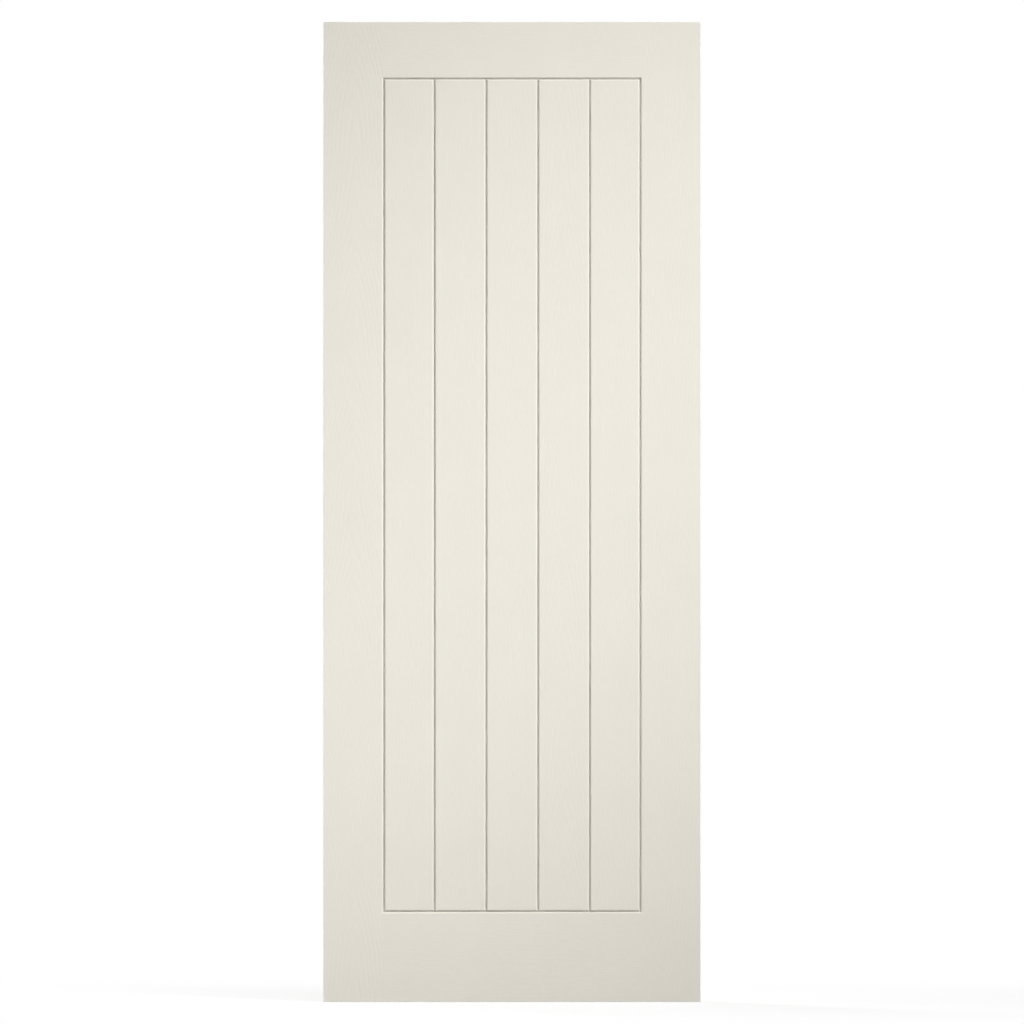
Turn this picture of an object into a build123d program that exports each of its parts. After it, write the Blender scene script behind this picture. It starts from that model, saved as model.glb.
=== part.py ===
# Moulded fire door leaf with a grooved plank pattern pressed into both faces.
#
# The leaf is a flat sandwich. A softwood frame of two full-height stiles and two rails goes round a
# solid chipboard core, and a thin hardboard facing is glued over each side. Each facing is one
# pressed sheet: a mitred V groove marks out the stiles and rails, and upright V grooves divide the
# middle into planks. The sheet keeps its thickness where it is pressed, so behind every groove it
# stands out as a rounded rib, and the core has a routed channel that takes the rib.
#
# Millimetres. X runs from the hinge edge to the lock edge, Y from the front face to the back face,
# and Z up. The origin is the foot of the hinge edge, midway through the thickness.

from build123d import *

import os
from math import atan2, tan

# The leaf
leaf_width = 762.0
leaf_height = 1981.0
leaf_thickness = 44.0

# The pressed facings
skin_thickness = 3.2
edge_easing = 0.6

# The timber frame, and the gap that lets the core drop in
stile_width = 36.0
top_rail_height = 36.0
bottom_rail_height = 45.0
core_clearance = 0.5

# The steep V groove: its mouth, its blunt root, its depth, and the rounding of its corners
groove_width = 5.0
root_width = 0.8
groove_depth = 6.0
shoulder_radius = 0.7
root_radius = 0.4
rib_clearance = 0.5

# The plank pattern, from an edge of the leaf to the middle of the groove beside it
face_stile_width = 122.0
face_top_rail_height = 115.0
face_bottom_rail_height = 183.0
plank_count = 5
outer_plank_trim = 2.7

# Places that follow from the sizes above
front_face_y = -leaf_thickness / 2
frame_thickness = leaf_thickness - 2 * skin_thickness
panel_left = face_stile_width
panel_right = leaf_width - face_stile_width
panel_foot = face_bottom_rail_height
panel_head = leaf_height - face_top_rail_height
panel_middle = (panel_foot + panel_head) / 2

# The outer two planks are a little narrower than the rest
plank_width = (panel_right - panel_left + 2 * outer_plank_trim) / plank_count
first_divider = panel_left + plank_width - outer_plank_trim
dividers = [first_divider + step * plank_width for step in range(plank_count - 1)]

# How far a groove's rounded shoulders reach on either side of its middle
wall_angle = atan2(groove_depth, (groove_width - root_width) / 2)
shoulder_reach = groove_width / 2 + shoulder_radius * tan(wall_angle / 2)

# How far a groove's cutter stands clear of the face that it cuts
overshoot = 1.0


def groove_section(x, z, cover=0.0):
    """The section of an upright groove at (x, z), with its local Y running into the leaf.

    With a cover it is grown by that much on every side, for the back of the sheet or the core's
    channel, and begins halfway through the sheet."""
    rim = shoulder_reach + shoulder_radius
    with BuildSketch(Plane((x, front_face_y, z), x_dir=(1, 0, 0), z_dir=(0, 0, 1))) as section:
        with BuildLine():
            FilletPolyline(
                (-rim, 0),
                (-groove_width / 2, 0),
                (-root_width / 2, groove_depth),
                (root_width / 2, groove_depth),
                (groove_width / 2, 0),
                (rim, 0),
                radius=[shoulder_radius, root_radius, root_radius, shoulder_radius],
            )
            Polyline((rim, 0), (rim, -overshoot), (-rim, -overshoot), (-rim, 0))
        make_face()
        if cover:
            offset(amount=cover)
            with Locations((0, skin_thickness / 2)):
                Rectangle(
                    2 * (rim + cover),
                    groove_depth + cover,
                    align=(Align.CENTER, Align.MIN),
                    mode=Mode.INTERSECT,
                )
    return section.sketch


def groove_pattern(cover=0.0):
    """Bars along every groove of the front face: the mitred frame, and the uprights between planks."""
    with BuildPart() as pattern:
        with BuildLine() as frame_line:
            Polyline(
                (panel_left, front_face_y, panel_middle),
                (panel_left, front_face_y, panel_head),
                (panel_right, front_face_y, panel_head),
                (panel_right, front_face_y, panel_foot),
                (panel_left, front_face_y, panel_foot),
                (panel_left, front_face_y, panel_middle),
            )
        start = groove_section(panel_left, panel_middle, cover)
        sweep(start, path=frame_line.line, transition=Transition.RIGHT)
        for x in dividers:
            extrude(groove_section(x, panel_foot, cover), amount=panel_head - panel_foot)
    return pattern.part


def timber(left, right, foot, head):
    """A squared piece, as thick as the space between the two facings."""
    with BuildPart() as piece:
        with BuildSketch(Plane.XY.offset(foot)):
            with Locations(((left + right) / 2, 0)):
                Rectangle(right - left, frame_thickness)
        extrude(amount=head - foot)
    return piece.part


# The front facing: a flat sheet with eased edges, a rib behind every groove, then the grooves
with BuildPart() as front_skin:
    with BuildSketch(Plane.XZ.offset(leaf_thickness / 2)):
        Rectangle(leaf_width, leaf_height, align=Align.MIN)
    extrude(amount=-skin_thickness)
    chamfer(front_skin.faces().sort_by(Axis.Y)[0].edges(), edge_easing)
    add(groove_pattern(cover=skin_thickness))
    add(groove_pattern(), mode=Mode.SUBTRACT)

# The back facing: the same sheet facing the other way
with BuildPart() as back_skin:
    mirror(front_skin.part, about=Plane.XZ)

# The stiles, the full height of the leaf
with BuildPart() as hinge_stile:
    add(timber(0, stile_width, 0, leaf_height))

with BuildPart() as lock_stile:
    add(timber(leaf_width - stile_width, leaf_width, 0, leaf_height))

# The rails, between the stiles
with BuildPart() as top_rail:
    add(timber(stile_width, leaf_width - stile_width, leaf_height - top_rail_height, leaf_height))

with BuildPart() as bottom_rail:
    add(timber(stile_width, leaf_width - stile_width, 0, bottom_rail_height))

# The core, with a channel for every rib of both facings
with BuildPart() as core_board:
    add(
        timber(
            stile_width + core_clearance,
            leaf_width - stile_width - core_clearance,
            bottom_rail_height + core_clearance,
            leaf_height - top_rail_height - core_clearance,
        )
    )
    front_channels = groove_pattern(cover=skin_thickness + rib_clearance)
    add(front_channels, mode=Mode.SUBTRACT)
    mirror(front_channels, about=Plane.XZ, mode=Mode.SUBTRACT)

pieces = {
    "front_skin": front_skin,
    "back_skin": back_skin,
    "hinge_stile": hinge_stile,
    "lock_stile": lock_stile,
    "top_rail": top_rail,
    "bottom_rail": bottom_rail,
    "core_board": core_board,
}

os.makedirs("parts", exist_ok=True)
for name, piece in pieces.items():
    piece.part.label = name
    export_step(piece.part, f"parts/{name}.step")
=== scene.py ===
# %% [markdown]
# A moulded fire door leaf
#
# The object is one door leaf: a timber frame round a solid core, with a thin pressed facing glued
# over each side. The facings carry the whole look. Each is one sheet of hardboard, pressed hot in
# a mould that gives it V grooves and a shallow wood grain, and then sprayed with off-white
# primer.
#
# The construction comes ready-made as a fixed frame of parts. This lesson dresses it: it models
# the two facings again, with softly rounded grooves, and gives every part its real finish.

# %% Load the leaf and keep its box
from math import atan2, cos, pi, radians, sin, tan

import bpy
import numpy as np
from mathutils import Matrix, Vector


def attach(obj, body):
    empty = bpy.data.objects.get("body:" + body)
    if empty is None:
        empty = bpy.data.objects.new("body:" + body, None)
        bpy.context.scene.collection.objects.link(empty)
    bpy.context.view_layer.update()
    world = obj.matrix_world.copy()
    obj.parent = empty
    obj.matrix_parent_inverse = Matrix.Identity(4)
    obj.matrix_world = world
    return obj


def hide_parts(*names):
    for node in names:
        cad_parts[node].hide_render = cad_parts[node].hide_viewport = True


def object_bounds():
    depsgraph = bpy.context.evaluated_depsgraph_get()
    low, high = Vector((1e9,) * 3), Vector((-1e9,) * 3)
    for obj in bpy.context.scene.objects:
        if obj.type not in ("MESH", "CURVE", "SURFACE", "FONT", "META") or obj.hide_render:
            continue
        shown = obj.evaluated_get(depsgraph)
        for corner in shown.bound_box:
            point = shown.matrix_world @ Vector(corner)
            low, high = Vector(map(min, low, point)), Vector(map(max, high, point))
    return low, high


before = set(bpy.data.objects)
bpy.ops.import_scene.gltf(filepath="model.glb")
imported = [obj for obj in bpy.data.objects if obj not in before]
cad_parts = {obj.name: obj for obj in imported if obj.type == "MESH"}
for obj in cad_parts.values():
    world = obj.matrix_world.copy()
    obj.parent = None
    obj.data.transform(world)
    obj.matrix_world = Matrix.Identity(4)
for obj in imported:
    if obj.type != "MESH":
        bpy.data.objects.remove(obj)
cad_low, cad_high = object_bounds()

scene = bpy.context.scene
print("box of the leaf", [round(c, 4) for c in cad_low], [round(c, 4) for c in cad_high])

# %% [markdown]
# The camera
#
# The photograph is a square-on catalogue view, so the camera looks straight along the thickness
# at the middle of the leaf. A camera close by would look down into the lower groove and up into
# the top one, but in the photograph both show as much of either wall. So it stands a long way
# off, with a very long lens. Its distance is worked out so that the leaf's height fills as many
# pixels as it does there.

# %% Place the camera
photo_size = 1024
leaf_height_in_photo = 980
lens_mm = 400
sensor_mm = 36

leaf_width = cad_high.x - cad_low.x
leaf_height = cad_high.z - cad_low.z
leaf_thickness = cad_high.y - cad_low.y
leaf_middle = (cad_low + cad_high) / 2

field = leaf_height * photo_size / leaf_height_in_photo
distance = field * lens_mm / sensor_mm
camera_data = bpy.data.cameras.new("camera")
camera_data.lens = lens_mm
camera_data.sensor_width = sensor_mm
camera = bpy.data.objects.new("camera", camera_data)
camera.location = (leaf_middle.x, cad_low.y - distance, leaf_middle.z)
camera.rotation_euler = (pi / 2, 0, 0)
scene.collection.objects.link(camera)
scene.camera = camera
print("camera", round(distance, 3), "m from the front face")

# %% [markdown]
# The groove
#
# Seen across, a groove is a steep V with soft shoulders and a blunt root, because hardboard tears
# if it is pressed round a sharp corner. The sheet keeps its thickness, so its back bulges behind
# the V. Both outlines are lines and arcs: a list of distances from the middle of the groove, each
# with how deep the surface lies there. The sheet is cut through at the distances of both
# outlines, so each outline is read off at all of them. These levels drive the modelling further
# down.

# %% Work out the groove's levels, front and back
groove_width = 0.0044
root_width = 0.0008
groove_depth = 0.006
shoulder_radius = 0.002
root_radius = 0.0004
skin_thickness = 0.0032
steps_in_an_arc = 5

wall_angle = atan2(groove_depth, (groove_width - root_width) / 2)
arc_angles = [wall_angle * step / steps_in_an_arc for step in range(steps_in_an_arc + 1)]
shoulder_start = groove_width / 2 + shoulder_radius * tan(wall_angle / 2)
root_end = root_width / 2 - root_radius * tan(wall_angle / 2)


def root_arc(radius, depth):
    """The rounded corner at the root, or the wider one round it on the back of the sheet."""
    return [(root_end + radius * sin(a), depth - radius * (1 - cos(a))) for a in arc_angles]


def shoulder_arc(radius):
    """The rounded shoulder, from the wall up to the face."""
    angles = reversed(arc_angles)
    return [(shoulder_start - radius * sin(a), radius * (1 - cos(a))) for a in angles]


front_outline = [(0, groove_depth)]
front_outline += root_arc(root_radius, groove_depth) + shoulder_arc(shoulder_radius)
back_outline = [(0, groove_depth + skin_thickness)]
back_outline += root_arc(root_radius + skin_thickness, groove_depth + skin_thickness)
wall_end, wall_end_depth = back_outline[-1]
bulge_end = wall_end + (wall_end_depth - skin_thickness) / tan(wall_angle)
back_outline.append((bulge_end, skin_thickness))

offsets = sorted({round(offset, 6) for offset, depth in front_outline + back_outline})
front_levels, back_levels = [
    list(zip(offsets, np.interp(offsets, *zip(*outline))))
    for outline in (front_outline, back_outline)
]
print("groove", round(front_levels[0][1] * 1000, 2), "mm deep, with", len(offsets), "levels")

# %% [markdown]
# The pattern of grooves
#
# One groove runs round the middle of the leaf as a frame with mitred corners, and upright grooves
# divide the inside into planks. The stiles and rails outside it are only what the pattern
# suggests: the sheet is one piece. Every place here is measured from an edge of the leaf to the
# middle of a groove. The outer two planks are a little narrower than the others.

# %% Lay out the grooves
face_stile_width = 0.122
face_top_rail_height = 0.115
face_bottom_rail_height = 0.183
plank_count = 5
outer_plank_trim = 0.0027

panel_left = cad_low.x + face_stile_width
panel_right = cad_high.x - face_stile_width
panel_foot = cad_low.z + face_bottom_rail_height
panel_head = cad_high.z - face_top_rail_height
plank_width = (panel_right - panel_left + 2 * outer_plank_trim) / plank_count
first_divider = panel_left + plank_width - outer_plank_trim
dividers = [first_divider + step * plank_width for step in range(plank_count - 1)]
uprights = [panel_left] + dividers + [panel_right]
crossings = [panel_foot, panel_head]


def distance_to_groove(x, z):
    """How far points lie from the middle of the nearest groove, square so that corners mitre."""
    outside = np.maximum(
        np.maximum(panel_left - x, x - panel_right),
        np.maximum(panel_foot - z, z - panel_head),
    )
    distances = np.abs(outside)
    for divider in dividers:
        distances = np.where(outside <= 0, np.minimum(distances, np.abs(x - divider)), distances)
    return distances


print("planks", round(plank_width * 1000, 1), "mm wide")

# %% [markdown]
# Working by hand, in code
#
# Each modelling step below is one that a person makes in edit mode: select something, then move,
# cut or bevel it. A script has no mouse, so it selects by place instead, from a test on the
# coordinates. The helpers read all the coordinates at once, which keeps that quick on a dense
# mesh.

# %% Helpers for selecting by place
same_place = 1e-5
no_move = 1e-6


def start_fresh():
    """Leaves edit mode and deselects everything."""
    if bpy.context.object and bpy.context.object.mode != "OBJECT":
        bpy.ops.object.mode_set(mode="OBJECT")
    bpy.ops.object.select_all(action="DESELECT")


def places(items, attribute):
    """The coordinates of a mesh's vertices, or the centres of its faces, as three arrays."""
    flat = np.empty(len(items) * 3)
    items.foreach_get(attribute, flat)
    return flat.reshape(-1, 3).T


def select(piece, kind, chosen):
    """In edit mode, selects the vertices or faces that chosen is true for, and counts them."""
    bpy.ops.mesh.select_mode(type=kind)
    bpy.ops.mesh.select_all(action="DESELECT")
    bpy.ops.object.mode_set(mode="OBJECT")
    items = {"VERT": piece.data.vertices, "FACE": piece.data.polygons}[kind]
    items.foreach_set("select", np.asarray(chosen, dtype=bool))
    bpy.ops.object.mode_set(mode="EDIT")
    return int(np.count_nonzero(chosen))


def near(values, target):
    """True where values are as good as equal to target."""
    return np.abs(values - target) < same_place


# %% [markdown]
# The blank sheet
#
# The facing starts as a plain slab of the sheet's size, at its place on the leaf. Its four outer
# edges are eased on the face side, as they are on the real leaf, where a sharp edge would chip
# and would not hold paint. A bevel does that before the sheet is cut up, while each edge is still
# one edge.

# %% Make the blank sheet
edge_easing = 0.0006
edge_steps = 3

start_fresh()
front_y = cad_low.y
sheet_middle = (leaf_middle.x, front_y + skin_thickness / 2, leaf_middle.z)
sheet_size = (leaf_width, skin_thickness, leaf_height)
bpy.ops.mesh.primitive_cube_add(size=1, location=sheet_middle, scale=sheet_size)
front_facing = bpy.context.object
front_facing.name = "front_facing"
bpy.ops.object.transform_apply(location=True, rotation=True, scale=True)

bpy.ops.object.mode_set(mode="EDIT")
_, y, _ = places(front_facing.data.vertices, "co")
select(front_facing, "VERT", near(y, front_y))
bpy.ops.mesh.select_mode(use_extend=False, use_expand=False, type="EDGE")
bpy.ops.mesh.bevel(offset=edge_easing, offset_type="OFFSET", segments=edge_steps, profile=0.5)
bpy.ops.object.mode_set(mode="OBJECT")
print("blank sheet", len(front_facing.data.polygons), "faces")

# %% [markdown]
# Cutting the sheet where its level changes
#
# The grooves could be cut with a boolean, but that leaves long slivers that shade badly. Here the
# sheet is bisected along a line for every level of every groove instead. All the lines cross, so
# the corners and the joints between grooves come out with matching points on their mitres.

# %% Bisect along every line
def cut_lines(middles):
    """Where the sheet is cut for grooves whose middles are given: each level, on both sides."""
    places_of_cuts = {
        round(middle + side * offset, 7)
        for middle in middles
        for offset in offsets
        for side in (-1, 1)
    }
    return sorted(places_of_cuts)


def bisect(places_of_cuts, normal):
    """Cuts the mesh in edit mode across the given axis at each place."""
    for place in places_of_cuts:
        bpy.ops.mesh.select_all(action="SELECT")
        bpy.ops.mesh.bisect(plane_co=[place * n for n in normal], plane_no=normal)


bpy.ops.object.mode_set(mode="EDIT")
bisect(cut_lines(uprights), (1, 0, 0))
bisect(cut_lines(crossings), (0, 0, 1))
bpy.ops.object.mode_set(mode="OBJECT")
print("cut sheet", len(front_facing.data.polygons), "faces")

# %% [markdown]
# Pressing the grooves
#
# Now the mould closes. All the points at one distance from the middle of a groove lie at one
# level, so each level is one selection and one move: inwards on the face, and outwards on the
# back.

# %% Press the face and the back
def press(side_y, levels):
    """Moves each ring of points on one side of the sheet to its level."""
    x, y, z = places(front_facing.data.vertices, "co")
    from_groove = distance_to_groove(x, z)
    on_this_side = near(y, side_y)
    moved = 0
    for offset, depth in levels:
        shift = front_y + depth - side_y
        if shift < no_move:
            continue
        moved += select(front_facing, "VERT", on_this_side & near(from_groove, offset))
        bpy.ops.transform.translate(value=(0, shift, 0))
    return moved


bpy.ops.object.mode_set(mode="EDIT")
pressed_in = press(front_y, front_levels)
pushed_out = press(front_y + skin_thickness, back_levels)
bpy.ops.object.mode_set(mode="OBJECT")
print("pressed", pressed_in, "points in and", pushed_out, "out")

# %% [markdown]
# Creasing the mitres
#
# Where two grooves meet, each small square between the lines bends along its diagonal. Left to
# itself Blender may fold it along the wrong one. The mitre is always the longer diagonal, because
# it also changes level, so the squares at the joints are split along that one.

# %% Split the squares at the joints
bpy.ops.object.mode_set(mode="EDIT")
x, _, z = places(front_facing.data.polygons, "center")
widest = offsets[-1]
at_joint = np.zeros(len(x), dtype=bool)
for upright in uprights:
    for crossing in crossings:
        at_joint |= (np.abs(x - upright) < widest) & (np.abs(z - crossing) < widest)
squares = select(front_facing, "FACE", at_joint)
bpy.ops.mesh.quads_convert_to_tris(quad_method="LONGEST_DIAGONAL", ngon_method="BEAUTY")
bpy.ops.object.mode_set(mode="OBJECT")
print("split", squares, "squares; the sheet has", len(front_facing.data.polygons), "faces")

# %% [markdown]
# Smooth, but flat where it is flat
#
# Smooth shading blends the direction of neighbouring faces. Here some neighbours are facets a
# tenth of a millimetre wide and others are plain stiles as wide as a hand, and an even blend
# would make those look pillowed. Weighted normals let the bigger face win, so that only the small
# arcs bend the light.

# %% Shade the sheet
smooth_below = radians(30)

bpy.ops.object.shade_smooth_by_angle(angle=smooth_below)
bpy.ops.object.modifier_add(type="WEIGHTED_NORMAL")
weighting = front_facing.modifiers[-1]
weighting.keep_sharp = True
bpy.ops.object.modifier_apply(modifier=weighting.name)
print("weighted normals:", front_facing.data.has_custom_normals)

# %% [markdown]
# The back facing
#
# Both facings come out of the same mould, so the back one is the front one turned round: a half
# turn about the upright line through the middle of the leaf, not a mirror image. The copy gets
# its own mesh, and the turn goes into that mesh, so that the object itself stays at the origin.

# %% Copy the facing and turn it to the back
start_fresh()
front_facing.select_set(True)
bpy.context.view_layer.objects.active = front_facing
bpy.ops.object.duplicate(linked=False)
back_facing = bpy.context.object
back_facing.name = "back_facing"
bpy.ops.object.mode_set(mode="EDIT")
bpy.ops.mesh.select_all(action="SELECT")
axis_of_turn = (leaf_middle.x, leaf_middle.y, 0)
bpy.ops.transform.rotate(value=pi, orient_axis="Z", center_override=axis_of_turn)
bpy.ops.object.mode_set(mode="OBJECT")
for facing, node in ((front_facing, "front_skin"), (back_facing, "back_skin")):
    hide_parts(node)
    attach(facing, "root")
_, y, _ = places(back_facing.data.vertices, "co")
print("back facing from", round(y.min(), 4), "to", round(y.max(), 4), "through the thickness")

# %% [markdown]
# Shader maths
#
# A finish is a recipe of numbers that change over the surface. Wrapping a socket in a small class
# lets the recipe be written as ordinary sums: each sum or product adds its Math node. Every other
# node comes from one method, which takes the node's type, its settings and what goes in.

# %% A class for signals in a node tree
class Signal:
    """A socket of a node tree. Arithmetic on signals adds Math nodes to that tree."""

    def __init__(self, tree, socket):
        self.tree = tree
        self.socket = socket

    def node(self, kind, settings, inputs, output=0):
        """Adds a node, sets it up, fills its inputs and returns one of its outputs."""
        made = self.tree.nodes.new(kind)
        for name, value in settings.items():
            setattr(made, name, value)
        for name, value in inputs.items():
            if isinstance(value, Signal):
                self.tree.links.new(value.socket, made.inputs[name])
            else:
                made.inputs[name].default_value = value
        return Signal(self.tree, made.outputs[output])

    def maths(self, operation, *others):
        """One of the Math node's operations on this signal and the others."""
        inputs = dict(enumerate((self,) + others))
        return self.node("ShaderNodeMath", {"operation": operation}, inputs)

    def __add__(self, other):
        return self.maths("ADD", other)

    __radd__ = __add__

    def __mul__(self, other):
        return self.maths("MULTIPLY", other)

    __rmul__ = __mul__

    def __sub__(self, other):
        return self.maths("SUBTRACT", other)

    def __rsub__(self, other):
        return self.node("ShaderNodeMath", {"operation": "SUBTRACT"}, {0: other, 1: self})

    def __truediv__(self, other):
        return self.maths("DIVIDE", other)

    def __gt__(self, other):
        return self.maths("GREATER_THAN", other)

    def __lt__(self, other):
        return self.maths("LESS_THAN", other)

    def soft_step(self, low, high):
        """0 below low and 1 above high, with a smooth change between."""
        inputs = {"Value": self, "From Min": low, "From Max": high}
        return self.node("ShaderNodeMapRange", {"interpolation_type": "SMOOTHSTEP"}, inputs)

    def mix(self, first, second):
        """A colour between two: the first where this signal is 0, the second where it is 1."""
        inputs = {0: self, 6: first, 7: second}
        return self.node("ShaderNodeMix", {"data_type": "RGBA"}, inputs, output=2)


def new_finish(name):
    """A material with its surface shader and its object coordinates, ready for a recipe."""
    material = bpy.data.materials.new(name)
    material.use_nodes = True
    tree = material.node_tree
    surface = tree.nodes["Principled BSDF"]
    coordinates = tree.nodes.new("ShaderNodeTexCoord")
    position = Signal(tree, coordinates.outputs["Object"])
    return material, surface, position


def split(vector):
    """The three numbers of a vector signal."""
    inputs = {"Vector": vector}
    return [vector.node("ShaderNodeSeparateXYZ", {}, inputs, output=axis) for axis in range(3)]


def join(x, y, z):
    """A vector signal of three numbers, of which the first is a signal."""
    return x.node("ShaderNodeCombineXYZ", {}, {"X": x, "Y": y, "Z": z})


def noise(where, scale, detail):
    """Smooth random hills, around one half, at a vector signal."""
    inputs = {"Vector": where, "Scale": scale, "Detail": detail}
    return where.node("ShaderNodeTexNoise", {"noise_dimensions": "3D"}, inputs)


def linear(red, green, blue):
    """A colour as a paint chart gives it, 0 to 255, as the renderer wants it."""
    def channel(value):
        share = value / 255
        return share / 12.92 if share <= 0.04045 else ((share + 0.055) / 1.055) ** 2.4

    return (channel(red), channel(green), channel(blue), 1.0)


def relief(position, distance, height):
    """The direction of a surface that a height signal roughens, with the distance of one unit."""
    inputs = {"Strength": 1.0, "Distance": distance, "Height": height}
    return position.node("ShaderNodeBump", {}, inputs)


def plug(surface, **signals):
    """Links each signal to the surface input of that name, written with _ for a space."""
    for name, signal in signals.items():
        signal.tree.links.new(signal.socket, surface.inputs[name.replace("_", " ")])


# %% [markdown]
# The primed facing
#
# The mould is an impression of real boards. Each stile, rail and plank has its own grain: a
# flat-sawn board shows its rings cut nearly lengthwise, which come out as tall arches one inside
# the other. Here the rings are the distance to the tree's heart, which lies a little below the
# face, and they climb steadily along the board because a trunk tapers. Fine fibres run along
# everything, and short pores gather where a ring is open. The rails lie on their side. All of it
# is less than a third of a millimetre deep, so it is bump. The off-white primer over it has
# hardly any colour of its own to vary. The pores get painted shade, a darker colour, and the
# grooves get painted light, a whiter and cooler colour that lightens the shade down in them.

# %% The grain pressed into the facings
mm = 0.001

# Where each board begins, where its heart is, how deep the heart lies, and how bold its rings are
grain_zones = [
    (cad_low.x, 0.063, 0.012, 1.0),
    (panel_left - groove_width / 2, -0.050, 0.020, 0.3),
    (dividers[0], 0.500, 0.020, 0.3),
    (dividers[1], 0.150, 0.020, 0.3),
    (dividers[2], 0.483, 0.012, 0.8),
    (dividers[3], 0.300, 0.020, 0.3),
    (panel_right + groove_width / 2, 0.860, 0.020, 0.5),
]

# The sizes of the figure, across a board and along it
ring_spacing = 8 * mm
fibre_width = 1.2 * mm
fibre_length = 20 * mm
pore_width = 1.3 * mm
pore_length = 14 * mm

# How fast the rings climb along a board, how unevenly they do, and how far its heart sways
taper = 0.16
wander = 0.05
sway_width = 6 * mm

# How far each kind of mark rises or sinks, in millimetres
fibre_height = 0.28
ring_height = 0.06
pore_depth = 0.02

# The grain of the two rails: the height of each heart, and what both have in common
top_rail_heart = 1.91
bottom_rail_heart = 0.06
rail_heart_depth = 0.02
rail_boldness = 0.3
rail_seed = 50.0


def stepped(position, values):
    """A number that jumps to a new value at each listed place along position."""
    total = position * 0 + values[0][1]
    for (place, value), (_, before) in zip(values[1:], values):
        total = total + (position > place) * (value - before)
    return total


def pressed_grain(across, along, heart, heart_depth, boldness, seed):
    """The height of the grain in millimetres, and how much of each spot is a pore."""
    climb = along * taper + noise(join(seed, along, seed), 3.0, detail=0.0) * wander
    sway = (noise(join(across * 4, along * 2, seed + 7), 2.0, detail=1.0) - 0.5) * sway_width
    off_heart = across - heart + sway
    heart_distance = (off_heart * off_heart + heart_depth * heart_depth).maths("SQRT")
    radius = heart_distance + climb * boldness
    ring = (radius * (2 * pi / ring_spacing)).maths("SINE").soft_step(-0.2, 1.0)
    strand = join(off_heart / (2 * fibre_width), along, seed)
    slip = noise(strand, 1.0, detail=0.0) * 4 * fibre_length
    fibre_place = join(off_heart / fibre_width, (along + slip) / fibre_length, seed)
    fibres = noise(fibre_place, 1.0, detail=1.0) - 0.5
    pore_place = join(off_heart / pore_width, (along + slip) / pore_length, seed + 3)
    pore = (noise(pore_place, 1.0, detail=0.0) + ring * 0.06).soft_step(0.6, 0.8)
    patch = join(across * 9, along * 4, seed + 11)
    open_patch = noise(patch, 1.0, detail=1.0).soft_step(0.35, 0.6)
    open_ring = ring * open_patch * boldness
    height = fibres * fibre_height - open_ring * ring_height - pore * pore_depth
    return height, pore


def primed_facing():
    """Off-white primer over the pressed grain of seven upright boards and two rails."""
    material, surface, position = new_finish("primed_facing")
    x, y, z = split(position)
    seen_from_behind = y > 0
    across = x + seen_from_behind * (leaf_width - 2 * x)
    in_rail = (across > panel_left - groove_width / 2) * (across < panel_right + groove_width / 2)
    in_rail = in_rail * ((z > panel_head) + (z < panel_foot))

    hearts = stepped(across, [(zone[0], zone[1]) for zone in grain_zones])
    depths = stepped(across, [(zone[0], zone[2]) for zone in grain_zones])
    boldness = stepped(across, [(zone[0], zone[3]) for zone in grain_zones])
    seeds = stepped(across, [(zone[0], 5.0 * index) for index, zone in enumerate(grain_zones)])
    upright_height, upright_pore = pressed_grain(across, z, hearts, depths, boldness, seeds)

    in_top_half = z > leaf_middle.z
    rail_heart = in_top_half * (top_rail_heart - bottom_rail_heart) + bottom_rail_heart
    rail_height, rail_pore = pressed_grain(
        z, across, rail_heart, rail_heart_depth, rail_boldness, z * 0 + rail_seed
    )

    height = upright_height + in_rail * (rail_height - upright_height)
    pore = upright_pore + in_rail * (rail_pore - upright_pore)

    mottle = noise(position, 9.0, detail=3.0) - 0.5
    primer = linear(237, 233, 222)
    # Painted light: a whiter, cooler primer colour down in the grooves, which lightens and
    # neutralises the shade there.
    painted_groove_light = linear(237, 234, 228)
    thin_primer = linear(233, 229, 217)
    # Painted shade: a darker colour in the pores, standing in for the shade in their tiny
    # hollows.
    painted_pore_shade = linear(226, 221, 209)
    tinted = (mottle + 0.3).mix(primer, thin_primer)
    grained = (pore * 0.25).mix(tinted, painted_pore_shade)
    # The painted groove light comes in with depth below the face.
    below_the_face = leaf_thickness / 2 - y.maths("ABSOLUTE")
    groove_light_share = below_the_face.soft_step(shoulder_radius / 2, 2 * shoulder_radius)
    colour = groove_light_share.mix(grained, painted_groove_light)
    roughness = 0.46 + pore * 0.12 + mottle * 0.06
    bump = relief(position, mm, height)
    plug(surface, Base_Color=colour, Roughness=roughness, Normal=bump)
    return material


facing_finish = primed_facing()
print("primed facing", len(facing_finish.node_tree.nodes), "nodes")

# %% [markdown]
# The cut edges of the facings
#
# At the sides, top and foot of the leaf the facings end in a saw cut. There is no primer there,
# only brown pressed fibre with a dusting of overspray along the face. Those faces are picked out
# by their normals and get a finish of their own.

# %% Raw fibre on the cut edges
bare_specular = 0.15
cut_edge_normal = 0.99


def raw_fibre():
    """Brown pressed fibre, felted in thin layers, with a dusting of primer near the face."""
    material, surface, position = new_finish("raw_fibre_edge")
    x, y, z = split(position)
    felt = noise(join(x * 900, y * 2600, z * 900), 1.0, detail=3.0)
    blotch = noise(position, 30.0, detail=2.0)
    dark = linear(104, 74, 48)
    light = linear(158, 122, 86)
    primer_dust = linear(226, 221, 209)
    brown = (felt * 0.6 + blotch * 0.4).soft_step(0.35, 0.65).mix(dark, light)
    from_face = leaf_thickness / 2 - y.maths("ABSOLUTE")
    dust = noise(join(x * 400, y * 400, z * 400), 1.0, detail=2.0)
    overspray = (1 - (from_face / mm + dust * 1.2).soft_step(0.6, 1.9)) * 0.7
    colour = overspray.mix(brown, primer_dust)
    plug(surface, Base_Color=colour, Normal=relief(position, 0.1 * mm, felt))
    surface.inputs["Roughness"].default_value = 0.85
    surface.inputs["Specular IOR Level"].default_value = bare_specular
    return material


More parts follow.
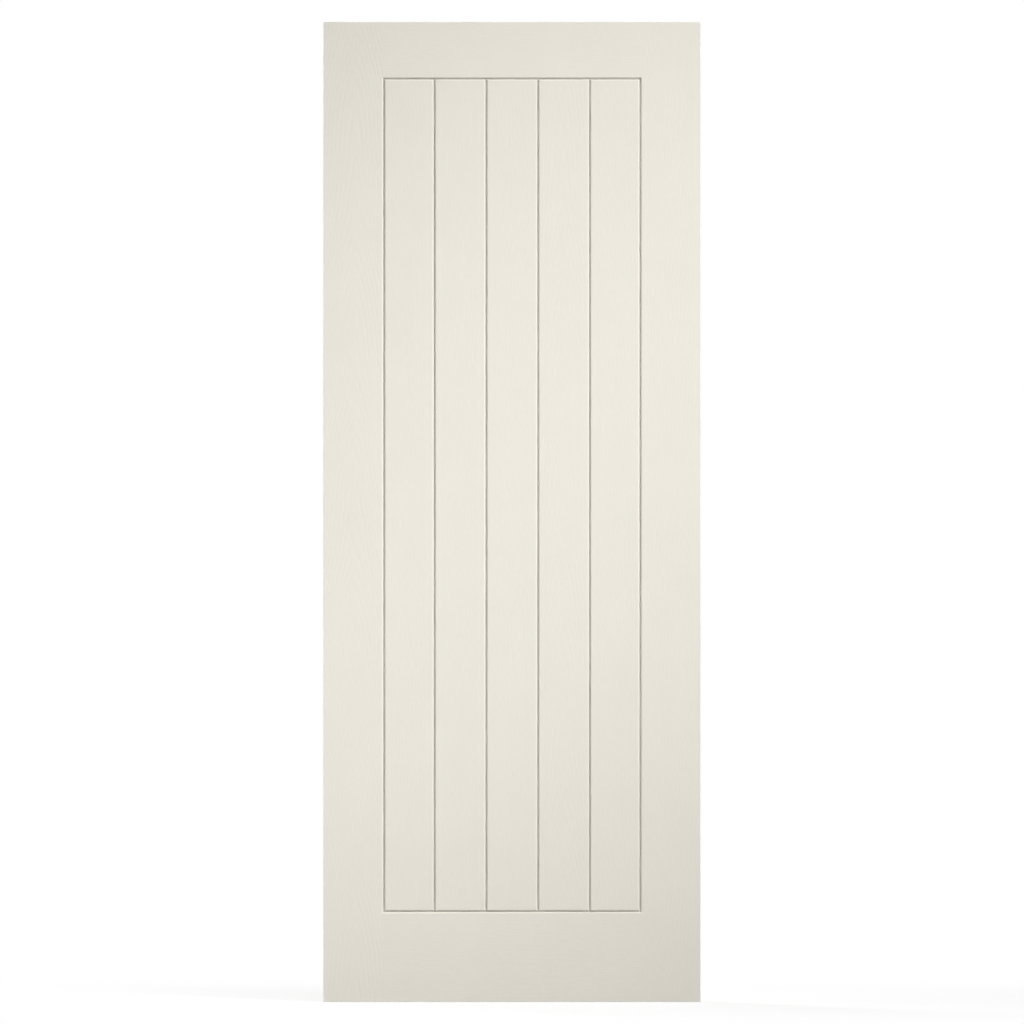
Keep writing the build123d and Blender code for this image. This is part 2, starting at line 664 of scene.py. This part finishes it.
edge_finish = raw_fibre()
for facing in (front_facing, back_facing):
    facing.data.materials.clear()
    facing.data.materials.append(facing_finish)
    facing.data.materials.append(edge_finish)
    nx, _, nz = places(facing.data.polygons, "normal")
    is_cut_edge = np.maximum(np.abs(nx), np.abs(nz)) > cut_edge_normal
    facing.data.polygons.foreach_set("material_index", is_cut_edge.astype(np.int32))
    print(facing.name, int(is_cut_edge.sum()), "faces of cut edge")

# %% [markdown]
# Softwood
#
# The stiles and rails are planed pine, left bare because the fitter trims and seals them on site.
# Wood is a solid pattern: rings round the heart of the tree, drawn out along the grain. So the
# recipe works in three dimensions, and the same finish shows lines along a stile's edge and arcs
# on its end. Long stiles are made from shorter lengths, finger-jointed and glued, each with its
# own shade.

# %% Softwood with finger joints
grain_ring = 3.6 * mm
tooth_pitch = 6.3 * mm
tooth_length = 11 * mm
glue_line = 0.35 * mm
pith_depth = 35 * mm


def softwood(name, lengthwise, joint_places, seed):
    """Bare planed pine with its grain along one axis and finger joints at the listed places."""
    material, surface, position = new_finish(name)
    parts = split(position)
    along = parts[lengthwise]
    sideways = parts[2 - lengthwise]
    through = parts[1]

    tooth = (through / tooth_pitch).maths("PINGPONG", 0.5) * 2
    from_start = along + tooth * tooth_length
    length_number = along * 0
    joint_line = along * 0
    for place in joint_places:
        length_number = length_number + (from_start > place)
        joint_line = joint_line + ((from_start - place).maths("ABSOLUTE") < glue_line)
    shade = length_number.node(
        "ShaderNodeTexWhiteNoise", {"noise_dimensions": "1D"}, {"W": length_number + seed}
    )

    stretched = join(sideways * 14, through * 14, along * 1.3 + length_number * 3.7 + seed)
    bend = noise(stretched, 1.0, detail=2.0) - 0.5
    heart_sideways = sideways + bend * 0.012 + shade * 0.05 - 0.05
    heart_through = through - pith_depth + shade * 0.02
    radius = (heart_sideways * heart_sideways + heart_through * heart_through).maths("SQRT")
    ring = (radius / grain_ring).maths("FRACT")
    latewood = ring.soft_step(0.35, 0.95) * (1 - ring.soft_step(0.96, 1.0))
    fibre = noise(join(sideways * 1500, through * 1500, along * 45), 1.0, detail=2.0)

    early = linear(222, 190, 146)
    late = linear(184, 138, 90)
    darker_length = linear(206, 164, 116)
    glue = linear(128, 92, 58)
    primer_dust = linear(228, 221, 205)
    colour = (latewood * 0.75 + (fibre - 0.5) * 0.3).mix(early, late)
    colour = (shade * 0.35).mix(colour, darker_length)
    colour = (joint_line * 0.55).mix(colour, glue)
    to_face = leaf_thickness / 2 - skin_thickness - through.maths("ABSOLUTE")
    dust = noise(join(sideways * 300, through * 300, along * 120), 1.0, detail=2.0)
    overspray = (1 - (to_face / mm + dust * 2.4).soft_step(0.4, 3.0)) * 0.35
    colour = overspray.mix(colour, primer_dust)
    height = fibre * 0.4 + latewood * 0.35 - joint_line * 0.8
    roughness = 0.78 - latewood * 0.12
    bump = relief(position, 0.12 * mm, height)
    plug(surface, Base_Color=colour, Roughness=roughness, Normal=bump)
    surface.inputs["Specular IOR Level"].default_value = bare_specular
    return material


def dress(node, material):
    """Puts a material in every slot of a part of the frame."""
    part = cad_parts[node]
    for slot in part.material_slots:
        slot.material = material
    print(node, "has", len(part.material_slots), "slots of", material.name)


upright_axis = 2
level_axis = 0
timbers = [  # the part, the axis of its grain, the places of its finger joints, and a seed
    ("hinge_stile", upright_axis, [0.38, 0.91, 1.37, 1.83], 1.0),
    ("lock_stile", upright_axis, [0.21, 0.66, 1.18, 1.60], 9.0),
    ("top_rail", level_axis, [0.33], 17.0),
    ("bottom_rail", level_axis, [0.47], 25.0),
]
for node, lengthwise, joint_places, seed in timbers:
    dress(node, softwood("softwood_" + node, lengthwise, joint_places, seed))

# %% [markdown]
# The core
#
# The core is chipboard: flat flakes of wood pressed in glue, all lying parallel to the faces. The
# facings hide it, but it belongs to the object, so it gets its own finish too. Cells of a Voronoi
# texture, squashed through the thickness, make the flakes.

# %% Chipboard
flakes_per_metre = 240
layers_per_metre = 900


def chipboard():
    """Flakes of wood in different shades, with dark gaps between them."""
    material, surface, position = new_finish("chipboard_core")
    x, y, z = split(position)
    squashed = join(x * flakes_per_metre, y * layers_per_metre, z * flakes_per_metre)
    inputs = {"Vector": squashed, "Scale": 1.0}
    flake = squashed.node("ShaderNodeTexVoronoi", {"feature": "F1"}, inputs, output=1)
    tone, _, _ = split(flake)
    to_gap = squashed.node("ShaderNodeTexVoronoi", {"feature": "DISTANCE_TO_EDGE"}, inputs)
    gap = to_gap.soft_step(0.0, 0.12)
    dark_flake = linear(150, 112, 74)
    light_flake = linear(212, 178, 132)
    dark_gap = linear(110, 80, 52)
    colour = gap.mix(dark_gap, tone.mix(dark_flake, light_flake))
    plug(surface, Base_Color=colour, Normal=relief(position, 0.3 * mm, gap))
    surface.inputs["Roughness"].default_value = 0.8
    return material


dress("core_board", chipboard())

# %% [markdown]
# The studio
#
# The leaf stands on a plain pale floor against white. The key light is a soft panel up to the
# right of the camera, with a grid over it that keeps its light to the middle of the leaf: it
# makes the left walls of the grooves bright and the right ones dark, and lets the top left and
# the foot fall away a little, as in the photograph. A weak panel high above the leaf picks out
# the lower walls of the level grooves, and a small fill lifts the lower left. A last panel, the
# key's opposite number, lights the back in the same way.

# %% Lamps
def panel_light(name, shift, aim, size, watts, spread=180):
    """A soft square lamp, placed and aimed from the leaf's middle, with its beam in degrees."""
    lamp = bpy.data.lights.new(name, "AREA")
    lamp.shape = "SQUARE"
    lamp.size = size
    lamp.energy = watts
    lamp.spread = radians(spread)
    holder = bpy.data.objects.new(name, lamp)
    place = leaf_middle + Vector(shift)
    holder.location = place
    beam = leaf_middle + Vector(aim) - place
    holder.rotation_euler = beam.to_track_quat("-Z", "Y").to_euler()
    scene.collection.objects.link(holder)


panel_light("key_light", (5.33, -6.02, 4.57), (-0.31, 0, -0.15), 1.6, 27.5, spread=30)
panel_light("top_light", (0.4, -2.0, 6.0), (0, 0, -0.3), 1.6, 2.6, spread=30)
panel_light("fill_light", (-0.54, -1.15, -0.66), (0, 0, -0.33), 0.5, 1.12)
panel_light("back_light", (-5.8, 6.6, 2.6), (0.31, 0, -0.15), 1.6, 27.0, spread=30)

# %% [markdown]
# White to the eye, quiet to the leaf
#
# A catalogue background is pure white, but a white room would flood the leaf with light from all
# sides and wash the grooves out. So the world is white only to the rays that show it: those from
# the camera, and mirrored ones. The light that the leaf gathers from it is a quiet grey. The
# floor is white too, and sends no light back to the leaf. Close to the leaf it keeps a trace of
# real shading, so that the leaf's shadow shows there.

# %% World and floor
ambient = 0.2
shadow_share = 0.22
shadow_reach = 1.1
floor_size = 200


def rays_that_see(tree):
    """1 for rays from the camera and for mirrored or refracted ones, and 0 for other light."""
    path = tree.nodes.new("ShaderNodeLightPath")
    kinds = ("Is Camera Ray", "Is Glossy Ray", "Is Transmission Ray")
    camera_ray, glossy_ray, glass_ray = [Signal(tree, path.outputs[kind]) for kind in kinds]
    return camera_ray.maths("MAXIMUM", glossy_ray).maths("MAXIMUM", glass_ray)


world = bpy.data.worlds.new("studio")
world.use_nodes = True
scene.world = world
sky = world.node_tree.nodes["Background"]
sky.inputs["Color"].default_value = (1, 1, 1, 1)
strength = rays_that_see(world.node_tree) * (1 - ambient) + ambient
world.node_tree.links.new(strength.socket, sky.inputs["Strength"])


def studio_floor():
    """White, with a trace of real shading close to the leaf."""
    material, surface, position = new_finish("studio_floor")
    tree = position.tree
    x, y, _ = split(position)
    beside = (x - leaf_middle.x).maths("ABSOLUTE") - leaf_width / 2
    away = beside.maths("MAXIMUM", y.maths("ABSOLUTE"))
    shading = (1 - away.soft_step(0, shadow_reach)) * shadow_share
    surface.inputs["Base Color"].default_value = (1, 1, 1, 1)
    surface.inputs["Roughness"].default_value = 0.9
    surface.inputs["Specular IOR Level"].default_value = 0.0
    glow = tree.nodes.new("ShaderNodeEmission")
    blend = tree.nodes.new("ShaderNodeMixShader")
    tree.links.new(shading.socket, blend.inputs[0])
    tree.links.new(glow.outputs[0], blend.inputs[1])
    tree.links.new(surface.outputs[0], blend.inputs[2])
    tree.links.new(blend.outputs[0], tree.nodes["Material Output"].inputs["Surface"])
    return material


start_fresh()
bpy.ops.mesh.primitive_plane_add(size=floor_size, location=(leaf_middle.x, 0, cad_low.z))
floor = bpy.context.object
floor.name = "studio_floor"
floor.visible_diffuse = False
floor.data.materials.append(studio_floor())
scene.view_settings.view_transform = "Standard"
print("a world of", ambient, "to the leaf")
